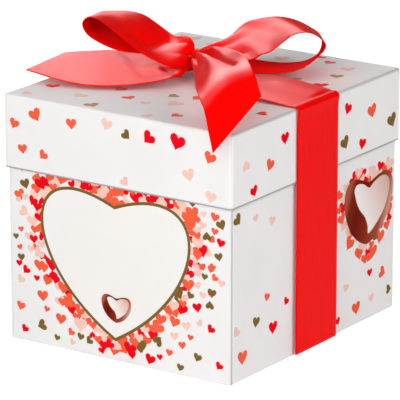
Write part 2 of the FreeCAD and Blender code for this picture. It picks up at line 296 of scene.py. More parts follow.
class StageSettings(PropertyGroup):
    floor_colour: colour("Floor", "Plain pale floor", "#f2f2f2")
    floor_glow: amount("Floor glow", "Light of the floor to the eye", 0.64)
    sky_light: amount("Sky light", "Light of the studio's walls and ceiling", 0.30)
    key_power: amount("Key light", "Lamp before the front", 3.75, "POWER")
    fill_power: amount("Fill light", "Lamp at the right", 2.75, "POWER")
    back_power: amount("Back light", "Lamp behind the box", 1.7, "POWER")
    sheen_power: amount("Sheen light", "Lamps behind for the satin's sheen", 15.5, "POWER")
    azimuth: amount("Azimuth", "Camera's turn", math.radians(34.31), subtype="ANGLE")
    elevation: amount("Elevation", "Camera's height angle", math.radians(16.61), subtype="ANGLE")
    distance: length("Distance", "From the camera to its target", 1.2206)
    target: FloatVectorProperty(
        name="Target", description="Point that the camera looks at", default=(-0.00284, 0.00143, 0.0410),
        subtype="TRANSLATION"
    )
    lens: amount("Lens", "Focal length", 334.5, "CAMERA")


def add_node(tree, kind, values=None, links=None, **settings):
    """Adds one node with its settings, its socket values and the links into its sockets."""
    node = tree.nodes.new(kind)
    for name, value in settings.items():
        setattr(node, name, value)
    for socket, value in (values or {}).items():
        node.inputs[socket].default_value = value
    for socket, source in (links or {}).items():
        tree.links.new(source, node.inputs[socket])
    return node


def fill_ramp(ramp, stops):
    """Gives a colour ramp its stops."""
    elements = ramp.color_ramp.elements
    while len(elements) < len(stops):
        elements.new(1.0)
    for element, (position, tone) in zip(elements, stops):
        element.position = position
        element.color = tone


def start_material(name):
    """An empty material with its node tree."""
    material = bpy.data.materials.new(name)
    material.use_nodes = True
    material.node_tree.nodes.clear()
    return material, material.node_tree


def patch(tree, ranges):
    """How far a place lies within all of some ranges, each from where it starts to where it is full."""
    share = None
    for value, start, full in ranges:
        within = add_node(tree, "ShaderNodeMapRange", {1: start, 2: full}, {0: value}).outputs[0]
        if share is not None:
            both = add_node(tree, "ShaderNodeMath", links={0: share, 1: within}, operation="MULTIPLY")
            within = both.outputs[0]
        share = within
    return share


def uneven_colour(tree, ink, pattern, values, span=(0.0, 1.0)):
    """A colour whose brightness goes from one value to another over a span of a pattern."""
    shade = add_node(
        tree, "ShaderNodeMapRange", {1: span[0], 2: span[1], 3: values[0], 4: values[1]}, {0: pattern}
    )
    paint = add_node(tree, "ShaderNodeHueSaturation", {"Color": ink}, {"Value": shade.outputs[0]})
    return paint.outputs["Color"]


def coated_board(name, settings, high, top=None):
    """Folding-box board with a satin coating: nearly white, faintly mottled, grey and dull inside.

    The eye sees a soft gloss and a very fine tooth. On the lid, painted shade darkens two top folds
    and a painted shadow line runs along the skirt's cut edge. On the base, the glued corner's groove
    shows the grey cut edge with painted shade over it.
    """
    material, tree = start_material(name)
    place = add_node(tree, "ShaderNodeTexCoord").outputs["Object"]
    patches = add_node(tree, "ShaderNodeTexNoise", {"Scale": 1 / 0.014, "Detail": 2.0}, {"Vector": place})
    outside = add_node(
        tree, "ShaderNodeMix", {6: settings.board_colour, 7: settings.mottle_colour},
        {0: patches.outputs["Fac"]}, data_type="RGBA"
    )
    x, y, z = add_node(tree, "ShaderNodeSeparateXYZ", links={"Vector": place}).outputs
    aside = [
        add_node(tree, "ShaderNodeMath", links={0: axis}, operation="ABSOLUTE").outputs[0]
        for axis in (x, y)
    ]
    half_board = 0.5 * BOARD
    if top is None:
        shown = add_node(tree, "ShaderNodeMath", {1: half_board}, {0: z}, operation="LESS_THAN")
    else:
        shown = add_node(tree, "ShaderNodeMath", {1: top - half_board}, {0: z}, operation="GREATER_THAN")
    for reach, edge in zip(aside, high):
        inner = edge - half_board
        past = add_node(tree, "ShaderNodeMath", {1: inner}, {0: reach}, operation="GREATER_THAN")
        shown = add_node(
            tree, "ShaderNodeMath", links={0: shown.outputs[0], 1: past.outputs[0]}, operation="MAXIMUM"
        )
    paint = add_node(
        tree, "ShaderNodeMix", {6: settings.inside_colour}, {0: shown.outputs[0], 7: outside.outputs[2]},
        data_type="RGBA"
    )
    soft = 0.1 * MM
    width = settings.shade_line_width
    if top is None:
        # Painted shade in the glued corner's groove, over its grey cut edge.
        right, front = BASE_HIGH.x, BASE_LOW.y
        groove = (
            (x, right - soft, right - 5 * soft),
            (x, right - GROOVE_REACH - soft, right - GROOVE_REACH),
            (y, front + BOARD - soft, front + BOARD),
            (y, front + GROOVE_REACH + 2 * soft, front + GROOVE_REACH),
        )
        marks = ((settings.groove_shade_colour, groove),)
    else:
        # Painted shade along the lid's two top side folds.
        fold_shade = [
            (value, edge - 1.6 * width, edge - 0.3 * width) for value, edge in ((z, top), (aside[0], high.x))
        ]
        # Painted shadow line along the lower edge of the lid's skirt.
        rim = ((z, LID_LOW.z + width, LID_LOW.z + 0.4 * width),)
        marks = ((settings.fold_shade_colour, fold_shade), (settings.rim_shadow_colour, rim))
    # Each mark mixes its painted shade into the board's colour.
    for tone, ranges in marks:
        paint = add_node(
            tree, "ShaderNodeMix", {7: tone}, {0: patch(tree, ranges), 6: paint.outputs[2]}, data_type="RGBA"
        )
    # The paper's tooth is about 0.1 mm and is drawn at 0.6 mm, so that it shows.
    tooth = add_node(tree, "ShaderNodeTexNoise", {"Scale": 1 / 0.0006, "Detail": 2.0}, {"Vector": place})
    bump = add_node(
        tree, "ShaderNodeBump", {"Strength": 0.03, "Distance": 0.0002}, {"Height": tooth.outputs["Fac"]}
    )
    gloss = add_node(tree, "ShaderNodeMapRange", {3: 0.80, 4: 0.72}, {0: shown.outputs[0]})
    shader = add_node(
        tree, "ShaderNodeBsdfPrincipled", {"IOR": 1.45, "Specular IOR Level": COATING_GLOSS},
        {"Base Color": paint.outputs[2], "Roughness": gloss.outputs[0], "Normal": bump.outputs["Normal"]}
    )
    add_node(tree, "ShaderNodeOutputMaterial", links={"Surface": shader.outputs["BSDF"]})
    return material


def offset_ink(name, ink, roughness, metallic, uneven=0.12):
    """Printed ink: a solid colour with a faint uneven lay and the coating's soft gloss over it."""
    material, tree = start_material(name)
    place = add_node(tree, "ShaderNodeTexCoord").outputs["Object"]
    lay = add_node(tree, "ShaderNodeTexNoise", {"Scale": 1 / 0.004, "Detail": 3.0}, {"Vector": place})
    paint = uneven_colour(tree, ink, lay.outputs["Fac"], (1 - uneven, 1 + uneven))
    shader = add_node(
        tree, "ShaderNodeBsdfPrincipled",
        {"Roughness": roughness, "Metallic": metallic, "Specular IOR Level": COATING_GLOSS},
        {"Base Color": paint}
    )
    add_node(tree, "ShaderNodeOutputMaterial", links={"Surface": shader.outputs["BSDF"]})
    return material


def chocolate_picture(name, centre, slope, tones):
    """Print of a glossy chocolate: tones that follow each other along a slope, from -1 to 1."""
    material, tree = start_material(name)
    place = add_node(tree, "ShaderNodeTexCoord").outputs["Object"]
    offset = add_node(tree, "ShaderNodeVectorMath", {1: centre}, {0: place}, operation="SUBTRACT")
    along = add_node(
        tree, "ShaderNodeVectorMath", {1: slope}, {0: offset.outputs[0]}, operation="DOT_PRODUCT"
    )
    share = add_node(tree, "ShaderNodeMapRange", {1: -1.0, 2: 1.0}, {0: along.outputs["Value"]})
    ramp = add_node(tree, "ShaderNodeValToRGB", links={"Fac": share.outputs[0]})
    fill_ramp(ramp, [(position, linear(code)) for position, code in tones])
    shader = add_node(
        tree, "ShaderNodeBsdfPrincipled", {"Roughness": 0.60, "Specular IOR Level": COATING_GLOSS},
        {"Base Color": ramp.outputs["Color"]}
    )
    add_node(tree, "ShaderNodeOutputMaterial", links={"Surface": shader.outputs["BSDF"]})
    return material


def woven_satin(name, settings, gloss, roughness):
    """Polyester satin: long float threads give its face a soft sheen, red face on and pink at a slant.

    The back of a single-faced ribbon has short threads, so it takes less gloss.
    """
    material, tree = start_material(name)
    chart = add_node(tree, "ShaderNodeUVMap", uv_map="ribbon").outputs["UV"]
    across = add_node(tree, "ShaderNodeTangent", direction_type="UV_MAP", uv_map="ribbon")
    # The chart counts in ribbon widths. A wave's band repeats each 0.314 of its scaled length.
    threads = settings.width / settings.thread
    warp = add_node(
        tree, "ShaderNodeTexWave", {"Scale": 0.314 * threads, "Distortion": 1.2, "Detail": 2.0},
        {"Vector": chart}, bands_direction="X"
    )
    stretched = add_node(
        tree, "ShaderNodeMapping", {"Scale": (threads * 0.5, threads * 0.09, 1.0)}, {"Vector": chart}
    )
    slubs = add_node(
        tree, "ShaderNodeTexNoise", {"Scale": 1.0, "Detail": 3.0}, {"Vector": stretched.outputs[0]}
    )
    weave = add_node(
        tree, "ShaderNodeMath", links={0: warp.outputs["Fac"], 1: slubs.outputs["Fac"]},
        operation="MULTIPLY"
    )
    bump = add_node(
        tree, "ShaderNodeBump", {"Strength": 0.10, "Distance": 0.0001}, {"Height": weave.outputs[0]}
    )
    paint = uneven_colour(tree, settings.satin_colour, slubs.outputs["Fac"], (0.94, 1.04), (0.30, 0.70))
    shader = add_node(
        tree, "ShaderNodeBsdfPrincipled",
        {"Roughness": roughness, "IOR": 1.18, "Specular IOR Level": gloss, "Anisotropic": 0.8,
         "Specular Tint": linear("#ff0000")},
        {"Base Color": paint, "Normal": bump.outputs["Normal"], "Tangent": across.outputs[0]}
    )
    add_node(tree, "ShaderNodeOutputMaterial", links={"Surface": shader.outputs["BSDF"]})
    return material


def pressed_card(name, settings):
    """Uncoated divider card: dull, with short fibres and a slight grey fleck."""
    material, tree = start_material(name)
    place = add_node(tree, "ShaderNodeTexCoord").outputs["Object"]
    fibres = add_node(tree, "ShaderNodeTexNoise", {"Scale": 1 / 0.0015, "Detail": 4.0}, {"Vector": place})
    paint = uneven_colour(tree, settings.card_colour, fibres.outputs["Fac"], (0.90, 1.05))
    bump = add_node(
        tree, "ShaderNodeBump", {"Strength": 0.15, "Distance": 0.0002}, {"Height": fibres.outputs["Fac"]}
    )
    shader = add_node(
        tree, "ShaderNodeBsdfPrincipled", {"Roughness": 0.78},
        {"Base Color": paint, "Normal": bump.outputs["Normal"]}
    )
    add_node(tree, "ShaderNodeOutputMaterial", links={"Surface": shader.outputs["BSDF"]})
    return material


def formed_film(name, settings):
    """Vacuum-formed brown film: thin, glossy and a little wavy where it was drawn."""
    material, tree = start_material(name)
    place = add_node(tree, "ShaderNodeTexCoord").outputs["Object"]
    draw = add_node(tree, "ShaderNodeTexNoise", {"Scale": 1 / 0.009, "Detail": 1.0}, {"Vector": place})
    bump = add_node(
        tree, "ShaderNodeBump", {"Strength": 0.25, "Distance": 0.0006}, {"Height": draw.outputs["Fac"]}
    )
    paint = uneven_colour(tree, settings.film_colour, draw.outputs["Fac"], (0.85, 1.15))
    shader = add_node(
        tree, "ShaderNodeBsdfPrincipled", {"Roughness": 0.22, "IOR": 1.57},
        {"Base Color": paint, "Normal": bump.outputs["Normal"]}
    )
    add_node(tree, "ShaderNodeOutputMaterial", links={"Surface": shader.outputs["BSDF"]})
    return material


def milk_chocolate(name, settings):
    """Moulded milk chocolate: a soft satin gloss, slightly paler in patches, with a little depth."""
    material, tree = start_material(name)
    place = add_node(tree, "ShaderNodeTexCoord").outputs["Object"]
    patches = add_node(tree, "ShaderNodeTexNoise", {"Scale": 1 / 0.008, "Detail": 3.0}, {"Vector": place})
    paint = add_node(
        tree, "ShaderNodeMix", {6: settings.chocolate_colour, 7: settings.bloom_colour},
        {0: patches.outputs["Fac"]}, data_type="RGBA"
    )
    dimples = add_node(tree, "ShaderNodeTexNoise", {"Scale": 1 / 0.0025, "Detail": 2.0}, {"Vector": place})
    bump = add_node(
        tree, "ShaderNodeBump", {"Strength": 0.08, "Distance": 0.0004}, {"Height": dimples.outputs["Fac"]}
    )
    shader = add_node(
        tree, "ShaderNodeBsdfPrincipled", {"Roughness": 0.32, "IOR": 1.5},
        {"Base Color": paint.outputs[2], "Normal": bump.outputs["Normal"]}
    )
    add_node(tree, "ShaderNodeOutputMaterial", links={"Surface": shader.outputs["BSDF"]})
    return material


def dress_node(node, material):
    """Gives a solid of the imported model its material."""
    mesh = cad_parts[node].data
    mesh.materials.clear()
    mesh.materials.append(material)


def add_object(name, mesh_tool, material):
    """Turns a mesh under construction into an object of the scene."""
    mesh = bpy.data.meshes.new(name)
    mesh_tool.to_mesh(mesh)
    mesh_tool.free()
    mesh.materials.append(material)
    made = bpy.data.objects.new(name, mesh)
    bpy.context.scene.collection.objects.link(made)
    return made


def make_piece(name, mesh_tool, material, body):
    """Turns a mesh under construction into a piece that rides on a body."""
    piece = add_object(name, mesh_tool, material)
    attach(piece, body)
    return piece


def thicken(piece, label, thickness):
    """Gives a flat piece its thickness, half of it on each side."""
    layer = piece.modifiers.new(label, "SOLIDIFY")
    layer.thickness = thickness
    layer.offset = 0.0
    return layer


def eased(before, here, there, after, share):
    """A point on a smooth curve through four points, between the middle two."""
    slope = (there - before) * share
    bend = (before * 2 - here * 5 + there * 4 - after) * share ** 2
    twist = (here * 3 - before - there * 3 + after) * share ** 3
    return here + (slope + bend + twist) * 0.5


def edges_at(rows, share):
    """The two edge points of a strip at a share of the way along its rows."""
    last = len(rows) - 1
    spot = min(max(share, 0.0), 1.0) * last
    row = min(int(spot), last - 1)
    near = (max(row - 1, 0), row, row + 1, min(row + 2, last))
    return [eased(*(rows[place][edge] for place in near), spot - row) for edge in (0, 1)]


def fold_height(folds, across, along, aspect):
    """The height of a strip's folds at a place on it."""
    height = 0.0
    spot = Vector((across, along * aspect))
    for rise, spread, line in folds:
        gap = 1e9
        for start, end in zip(line, line[1:]):
            first = Vector((start[0], start[1] * aspect))
            run = Vector((end[0], end[1] * aspect)) - first
            share = min(max((spot - first).dot(run) / run.length_squared, 0.0), 1.0)
            gap = min(gap, (spot - first - run * share).length)
        height += rise * MM * math.exp(-(gap / spread) ** 2)
    return height


def ribbon_sheet(name, rows, folds, settings, satin, columns=44, steps_per_row=9, looped=False):
    """A ribbon through its rows of edge points, with folds, and gathers where the rows narrow."""
    middle = [(a + b) / 2 for a, b in rows]
    run = sum((there - here).length for here, there in zip(middle, middle[1:]))
    aspect = run / settings.width
    last = len(rows) - 1
    step = 0.15 / last

    def flat_point(across, along):
        near, far = edges_at(rows, along)
        return near.lerp(far, across)

    def folded_point(across, along):
        near, far = edges_at(rows, along)
        ahead = flat_point(across, min(along + step, 1.0)) - flat_point(across, max(along - step, 0.0))
        outward = ahead.cross(far - near).normalized()
        height = fold_height(folds, across, along, aspect)
        # The gathers are deepest where half the width is drawn in, and fade a third of the way along.
        gathered = min(max(1 - (far - near).length / settings.width, 0.0), 1.0)
        from_knot = min(along, 1 - along) if looped else along
        ridge = 2 * abs(math.cos(math.pi * settings.pleat_count * across)) - 1.2
        fade = max(1 - 3 * from_knot, 0.0)
        height += settings.pleat_depth * 4 * gathered * (1 - gathered) * ridge * fade
        return near.lerp(far, across) + outward * height

    mesh_tool = bmesh.new()
    chart = mesh_tool.loops.layers.uv.new("ribbon")
    bmesh.ops.create_grid(
        mesh_tool, x_segments=columns, y_segments=last * steps_per_row, size=0.5, calc_uvs=True
    )
    for face in mesh_tool.faces:
        face.smooth = True
        for corner in face.loops:
            spot = corner.vert.co
            corner[chart].uv = (spot.x + 0.5, (spot.y + 0.5) * aspect)
    for vert in mesh_tool.verts:
        vert.co = folded_point(vert.co.x + 0.5, vert.co.y + 0.5)
    face, back = satin
    piece = make_piece(name, mesh_tool, back, "ribbon")
    piece.data.materials.append(face)
    layer = thicken(piece, "satin thickness", settings.thickness)
    layer.material_offset = 1
    layer.material_offset_rim = 1
    return piece, run


def satin_sides(name, settings):
    """The glossy face and the dull back of the ribbon."""
    face = woven_satin(name, settings, gloss=0.5, roughness=0.40)
    back = woven_satin(f"{name}_back", settings, gloss=0.01, roughness=0.60)
    return face, back


def bow_rows(shares, yaw, reach, rise, width):
    """A bow strip's rows of edge points, from its shares."""
    along = Vector((math.cos(math.radians(yaw)), math.sin(math.radians(yaw)), 0))
    left = Vector((-along.y, along.x, 0))
    return [
        [
            BOW_ROOT + along * out * reach + left * aside * width + Z_AXIS * lift * rise
            for out, aside, lift in row
        ]
        for row in shares
    ]


def band_rows(side, width):
    """The rows of the band on one side, which is 1 on the right and -1 on the left."""
    half, top = LID_HIGH.x, LID_HIGH.z
    middle = (LEG_LOW.y + LEG_HIGH.y) / 2
    knot_height = BOW_ROOT.z - top
    rows = []
    for place, row in enumerate(BAND_TOP_SHARES):
        drawn = side < 0 and place < len(LEFT_NEAR_SHARES)
        nearest = LEFT_NEAR_SHARES[place] if drawn else -0.5
        rows.append([
            Vector((side * out * half, middle + max(aside, nearest) * width, top + lift * knot_height))
            for out, aside, lift in row[::side]
        ])
    for out, drop in BAND_SIDE_SHARES:
        rows.append([
            Vector((side * out * half, middle + aside * width, top * (1 - drop)))
            for aside in (-0.5 * side, 0.5 * side)
        ])
    return rows


def heart_point(angle, half_width, shares, power):
    """A point of a heart's outline: angle 0 is its notch, and a half turn from it is its tip."""
    out = math.sin(angle)
    x = half_width * math.copysign(abs(out) ** power, out)
    y = half_width * sum(share * math.cos((place + 1) * angle) for place, share in enumerate(shares))
    return Vector((x, y, 0))


def add_flat(mesh_tool, placing, segments, outline):
    """Adds a flat shape to a mesh, from its outline's points by angle, and returns its face."""
    made = bmesh.ops.create_circle(mesh_tool, cap_ends=True, radius=1.0, segments=segments)
    for vert in made["verts"]:
        vert.co = placing @ outline(math.atan2(vert.co.x, vert.co.y))
    face = made["verts"][0].link_faces[0]
    face.normal_update()
    if face.normal.dot(placing.to_3x3() @ Z_AXIS) < 0:
        face.normal_flip()
    return face


def add_heart(mesh_tool, placing, half_width, shares, power, segments):
    """Adds a flat heart to a mesh, and returns its face."""

    def outline(angle):
        return heart_point(angle, half_width, shares, power)

    return add_flat(mesh_tool, placing, segments, outline)


def add_outline(mesh_tool, placing, half_width, shares, steps):
    """Adds a flat shape with a smooth outline through its shares to a mesh."""
    count = len(shares)
    corners = [Vector((across, up, 0)) * half_width for across, up in shares]

    def outline(angle):
        turn = (angle / math.tau) % 1.0 * count
        place = int(turn)
        near = [corners[(place + shift) % count] for shift in (-1, 0, 1, 2)]
        return eased(*near, turn - place)

    return add_flat(mesh_tool, placing, count * steps, outline)


def face_placing(origin, right, up):
    """Places a flat print on a face of the box, seen with its right and up directions."""
    out = right.cross(up)
    return Matrix.Translation(origin) @ Matrix((right, up, out)).transposed().to_4x4()


def box_faces(low, high):
    """The placings of a box's faces, each from its middle. A side's placing stands on the floor."""
    return {
        "front": face_placing(Vector((0, low.y, 0)), X_AXIS, Z_AXIS),
        "right": face_placing(Vector((high.x, 0, 0)), Y_AXIS, Z_AXIS),
        "back": face_placing(Vector((0, high.y, 0)), -X_AXIS, Z_AXIS),
        "left": face_placing(Vector((low.x, 0, 0)), -Y_AXIS, Z_AXIS),
        "top": face_placing(Vector((0, 0, high.z)), X_AXIS, Y_AXIS),
    }


def lay_print(face, spot, lift):
    """Places a print on a face, from its spot in millimetres and its height over the board."""
    return face @ Matrix.Translation((spot[0] * MM, spot[1] * MM, lift))


def ink_piece(name, mesh_tool, material, body, settings):
    """Finishes a flat print as a closed film of ink."""
    piece = make_piece(name, mesh_tool, material, body)
    thicken(piece, "ink film", settings.ink_height)


def open_spots(dice, count, low, high, sizes, spacing, keep_out):
    """Scatters places for hearts over a rectangle, apart from each other and from bare places."""
    spots = []
    for _ in range(count * 30):
        if len(spots) == count:
            break
        size = dice.uniform(*sizes)
        spot = Vector([dice.uniform(low[axis] + size, high[axis] - size) for axis in (0, 1)])
        if any(a < spot.x + size and spot.x - size < c and b < spot.y + size and spot.y - size < d
               for a, b, c, d in keep_out):
            continue
        if all((spot - other).length > spacing * (size + other_size) for other, other_size in spots):
            spots.append((spot, size))
    return spots


def ring_spots(dice, count, centre, half_width, reaches, sizes, low, high, crowding):
    """Scatters hearts round a heart's outline, between two reaches from its line."""
    spots = []
    for _ in range(count * 40):
        if len(spots) == count:
            break
        angle = dice.uniform(0, math.tau)
        line = heart_point(angle, half_width, FRAME_HEART_SHARES, FRAME_HEART_POWER)
        outward = Vector((line.x, line.y + 0.2 * half_width)).normalized()
        spot = Vector((centre[0] + line.x, centre[1] + line.y)) + outward * dice.uniform(*reaches)
        size = dice.uniform(*sizes)
        if not (low[0] + size < spot.x < high[0] - size and low[1] + size < spot.y < high[1] - size):
            continue
        if all((spot - other).length > crowding * (size + other_size) for other, other_size in spots):
            spots.append((spot, size))
    return spots


class GIFTBOX_OT_dress_boards(Operator):
    """Give the base and the lid their coated board"""
    bl_idname = "giftbox.dress_boards"
    bl_label = "Dress Boards"

    def execute(self, context):
        settings = context.scene.gift_board
        dress_node("base_carton", coated_board("coated_board_base", settings, BASE_HIGH))
        dress_node("lid_carton", coated_board("coated_board_lid", settings, LID_HIGH, LID_HIGH.z))
        return {"FINISHED"}


class GIFTBOX_OT_fill_chocolates(Operator):
    """Give the trays, divider cards and pralines their finishes"""
    bl_idname = "giftbox.fill_chocolates"
    bl_label = "Fill Chocolates"

    def execute(self, context):
        settings = context.scene.gift_board
        finishes = {
            "tray": formed_film("vacuum_formed_film", settings),
            "tier_card": pressed_card("pressed_divider_card", settings),
            "praline": milk_chocolate("moulded_milk_chocolate", settings),
        }
        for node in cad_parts:
            for start, material in finishes.items():
                if node.startswith(start):
                    dress_node(node, material)
        return {"FINISHED"}


class GIFTBOX_OT_print_hearts(Operator):
    """Print the scattered hearts on the base and the lid"""
    bl_idname = "giftbox.print_hearts"
    bl_label = "Print Hearts"

    def execute(self, context):
        settings = context.scene.gift_print
        dice = random.Random(settings.seed)
        inks = {
            tone: offset_ink(f"offset_ink_{tone}", getattr(settings, f"{tone}_colour"), 0.72, 0.0)
            for tone in ("red", "coral", "blush")
        }
        inks["bronze"] = offset_ink("bronze_ink", settings.bronze_colour, 0.60, 0.15)
        scattered = [
            (body, side, scatter(dice, *choices), palette)
            for body, side, scatter, choices, palette in self.plan(settings)
        ]
        for body, low, high in (("base", BASE_LOW, BASE_HIGH), ("lid", LID_LOW, LID_HIGH)):
            faces = box_faces(low, high)
            tools = {ink: bmesh.new() for ink in inks}
            for side, spots, palette in (row[1:] for row in scattered if row[0] == body):
                for place, (spot, size) in enumerate(spots):
                    lift = settings.ink_height * (0.1 + 2.0 * place / len(spots))
                    turn = dice.gauss(0, 0.45) + (math.pi if dice.random() < 0.06 else 0)
                    placing = lay_print(faces[side], spot, lift) @ Matrix.Rotation(turn, 4, "Z")
                    ink = dice.choices(list(inks), palette)[0]
                    add_heart(tools[ink], placing, size * MM, SMALL_HEART_SHARES, SMALL_HEART_POWER, 18)
            for ink, material in inks.items():
                ink_piece(f"{body}_hearts_{ink}", tools[ink], material, body, settings)
        return {"FINISHED"}

    def plan(self, settings):
        """Rows of hearts: body, side, way to scatter, choices in millimetres, and shares of the inks."""
        mixed = (0.30, 0.22, 0.28, 0.20)
        warm = (0.38, 0.36, 0.23, 0.03)
        margin = 1.5
        wide, deep = BASE_HIGH.x / MM - margin, BASE_HIGH.y / MM - margin
        lid_wide, lid_deep = LID_HIGH.x / MM - margin, LID_HIGH.y / MM - margin
        foot, under_lid = 2, 56
        low, high = (-wide, 1.0), (wide, 64.0)
        skirt_low, skirt_high = LID_LOW.z / MM + 1.0, LID_HIGH.z / MM - margin
        frame_line = (FRAME_MIDDLE, settings.frame_half_width / MM)
        picture_line = ((32.0, 39.5), 14.0)
        crowd = (settings.wreath_count, *frame_line, (0.3, 5.0), (1.3, 2.7), low, high, 0.46)
        stray = (70, *frame_line, (5.5, 13.0), (1.1, 2.2), low, high, 1.2)
        cluster = (40, *picture_line, (0.4, 4.6), (1.5, 2.8), (12.0, foot), (deep, 64.0), 0.52)
        rows = [("base", "front", ring_spots, crowd, warm), ("base", "front", ring_spots, stray, mixed)]
        front = (26, low, (wide, under_lid), (1.2, 2.2), 1.9, FRONT_BARE)
        rows.append(("base", "front", open_spots, front, mixed))
        rows.append(("base", "right", ring_spots, cluster, warm))
        for side, count, reach, sizes, spacing, bare in (
            ("right", 20, deep, (1.5, 2.7), 2.1, RIGHT_BARE),
            ("back", 80, wide, (1.3, 2.4), 1.9, ()),
            ("left", 70, deep, (1.3, 2.4), 1.9, LEFT_BAND_BARE),
        ):
            choices = (count, (-reach, foot), (reach, under_lid), sizes, spacing, bare)
            rows.append(("base", side, open_spots, choices, mixed))
        for side, count, reach, sizes, spacing, bare in (
            ("front", 18, lid_wide, (1.7, 3.0), 1.9, LID_FRONT_BARE),
            ("back", 22, lid_wide, (1.7, 3.0), 1.9, ()),
            ("right", 12, lid_deep, (1.9, 2.9), 2.3, RIGHT_BAND_BARE),
            ("left", 12, lid_deep, (1.9, 2.9), 2.3, LEFT_BAND_BARE),
        ):
            choices = (count, (-reach, skirt_low), (reach, skirt_high), sizes, spacing, bare)
            rows.append(("lid", side, open_spots, choices, mixed))
        top = (38, (-lid_wide, -lid_deep), (lid_wide, lid_deep), (1.8, 3.1), 1.8, TOP_BAND_BARE)
        rows.append(("lid", "top", open_spots, top, mixed))
        return rows


class GIFTBOX_OT_print_frame(Operator):
    """Print the heart frame, its bare panel and the pictures of chocolate hearts"""
    bl_idname = "giftbox.print_frame"
    bl_label = "Print Heart Frame"

    def execute(self, context):
        settings = context.scene.gift_print
        bronze = offset_ink("bronze_frame_ink", settings.bronze_colour, 0.55, 0.15)
        panel_ink = offset_ink("coated_panel", settings.panel_colour, 0.72, 0.0, 0.01)
        faces = box_faces(BASE_LOW, BASE_HIGH)
        step = settings.ink_height
        over_hearts, over_frame = 3.2 * step, 5.2 * step
        heart = (settings.frame_half_width, FRAME_HEART_SHARES, FRAME_HEART_POWER, 96)
        panel = bmesh.new()
        add_heart(panel, lay_print(faces["front"], FRAME_MIDDLE, over_hearts), *heart)
        ink_piece("heart_panel", panel, panel_ink, "base", settings)
        line = bmesh.new()
        face = add_heart(line, lay_print(faces["front"], FRAME_MIDDLE, over_hearts + step), *heart)
        bmesh.ops.inset_region(
            line, faces=[face], thickness=settings.frame_line, use_even_offset=True, use_boundary=True
        )
        bmesh.ops.delete(line, geom=[face], context="FACES")
        ink_piece("heart_frame_line", line, bronze, "base", settings)
        for side, (middle, half), lift, lean in (
            ("front", FRONT_PICTURE, over_frame, 0.0),
            ("right", RIGHT_PICTURE, over_hearts, -0.06),
        ):
            half_width = half * MM
            across = faces[side].to_3x3() @ X_AXIS
            turn = Matrix.Rotation(lean, 4, "Z")
            for part, height, slope, tones in (
                ("body", lift, across - Z_AXIS * 0.45, CHOCOLATE_TONES),
                ("highlight", lift + step, across * 0.8 + Z_AXIS * 0.5, HIGHLIGHT_TONES),
            ):
                name = f"chocolate_{part}_{side}"
                placing = lay_print(faces[side], middle, height)
                picture = chocolate_picture(name, placing.translation, slope / half_width, tones)
                tool = bmesh.new()
                if part == "body":
                    shape = (half_width, CHOCOLATE_HEART_SHARES, CHOCOLATE_HEART_POWER, 64)
                    add_heart(tool, placing @ turn, *shape)
                else:
                    add_outline(tool, placing @ turn, half_width, HIGHLIGHT_SHARES, 5)
                ink_piece(name, tool, picture, "base", settings)
        return {"FINISHED"}


class GIFTBOX_OT_lay_bands(Operator):
    """Lay the ribbon over the lid and down both sides"""
    bl_idname = "giftbox.lay_bands"
    bl_label = "Lay Bands"

    def execute(self, context):
        settings = context.scene.gift_ribbon
        satin = satin_sides("woven_satin_band", settings)
        for side, name in ((1, "right"), (-1, "left")):
            rows = band_rows(side, settings.width)
            piece, run = ribbon_sheet(
                f"ribbon_band_{name}", rows, BAND_FOLDS, settings, satin, columns=36, steps_per_row=10
            )
            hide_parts(f"ribbon_run_{name}", f"ribbon_leg_{name}")
        return {"FINISHED"}


class GIFTBOX_OT_tie_bow(Operator):
    """Tie the bow: two loops, two tails and the knot"""
    bl_idname = "giftbox.tie_bow"
    bl_label = "Tie Bow"

    def execute(self, context):
        settings = context.scene.gift_ribbon
        satin = satin_sides("woven_satin_bow", settings)
        strips = (
            ("bow_left_loop", LEFT_LOOP_SHARES, LEFT_LOOP_FOLDS, 205, 0.0365, 0.015),
            ("bow_right_loop", RIGHT_LOOP_SHARES, RIGHT_LOOP_FOLDS, 40, 0.042, 0.010),
            ("bow_front_tail", FRONT_TAIL_SHARES, FRONT_TAIL_FOLDS, -43, 0.077, 0.010),
            ("bow_left_tail", LEFT_TAIL_SHARES, LEFT_TAIL_FOLDS, 221, 0.0565, 0.010),
        )
        for node, shares, folds, yaw, reach, rise in strips:
            rows = bow_rows(shares, yaw, reach, rise, settings.width)
            looped = node.endswith("loop")
            ribbon_sheet(f"{node}_satin", rows, folds, settings, satin, looped=looped)
            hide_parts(node)
        knot = self.wrap_knot(satin[0])
        return {"FINISHED"}

    def wrap_knot(self, satin):
        """A narrow wrap of gathered ribbon round the bow's middle."""
        mesh_tool = bmesh.new()
        mesh_tool.loops.layers.uv.new("ribbon")
        reach, radius, flatness = 0.0016, 0.0024, 0.85
        bmesh.ops.create_cone(
            mesh_tool, cap_ends=True, segments=40, radius1=radius, radius2=radius, depth=2 * reach
        )
        long_edges = [
            edge for edge in mesh_tool.edges if abs(edge.verts[0].co.z - edge.verts[1].co.z) > reach
        ]
        bmesh.ops.subdivide_edges(mesh_tool, edges=long_edges, cuts=13)
        for vert in mesh_tool.verts:
            share = vert.co.z / reach
            angle = math.atan2(vert.co.y, vert.co.x)
            pleat = 0.90 + 0.10 * abs(math.cos(1.5 * math.pi * share + 0.5 * math.sin(2 * angle)))
            draw = pleat * (1 - 0.22 * share ** 4)
            vert.co.x *= draw
            vert.co.y *= draw * flatness
        for face in mesh_tool.faces:
            face.smooth = True
        yaw = Matrix.Rotation(math.radians(30), 4, "Z")
        lie = Matrix.Rotation(math.radians(90), 4, "Y")
        placing = Matrix.Translation(BOW_ROOT) @ yaw @ lie
        bmesh.ops.transform(mesh_tool, matrix=placing, verts=mesh_tool.verts)
        bmesh.ops.recalc_face_normals(mesh_tool, faces=mesh_tool.faces)
        piece = make_piece("bow_knot_wrap", mesh_tool, satin, "ribbon")
        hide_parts("bow_knot")
        return piece


